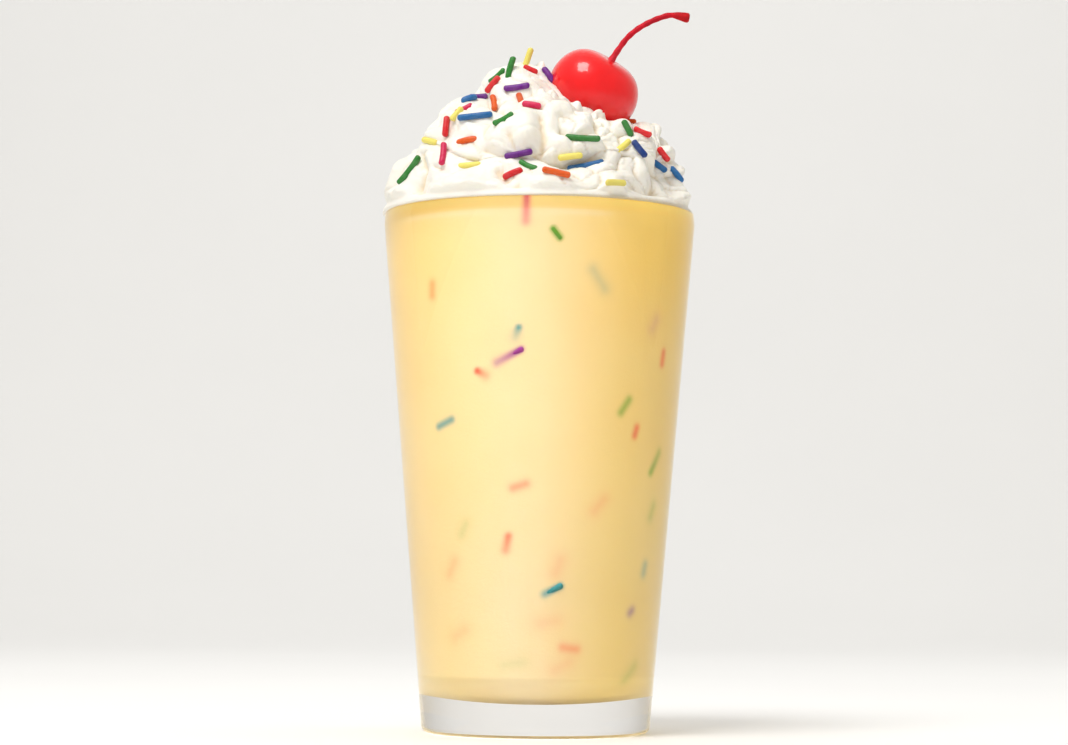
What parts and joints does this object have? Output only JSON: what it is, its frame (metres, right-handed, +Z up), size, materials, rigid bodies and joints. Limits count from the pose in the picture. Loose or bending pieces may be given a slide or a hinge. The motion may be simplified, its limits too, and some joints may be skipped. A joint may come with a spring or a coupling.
{
  "type": "milkshake",
  "caption": "Vanilla milkshake with sunken sprinkles in a tall tapered glass tumbler, topped with a folded mound of whipped cream, rainbow sprinkles and a stemmed red cherry.",
  "frame": {"origin": "centre of the tumbler's foot, on the plane it stands on", "axes": "+Z up along the tumbler's axis, front of the drink towards -Y, cherry towards +X"},
  "size_m": [0.09, 0.09, 0.2069],
  "materials": {
    "tumbler_glass": "clear, smooth, heavy-based",
    "vanilla_shake": "opaque creamy liquid, pale yellow with blurred sprinkles",
    "whipped_cream": "soft matte cream with coloured sprinkles",
    "cherry_skin": "glossy syrup-coated red",
    "cherry_stem": "satin dark red"
  },
  "bodies": {
    "root": {"tumbler": "tumbler_glass", "shake": "vanilla_shake", "whipped_cream": "whipped_cream", "cherry": "cherry_skin", "cherry_stem": "cherry_stem"}
  },
  "joints": []
}
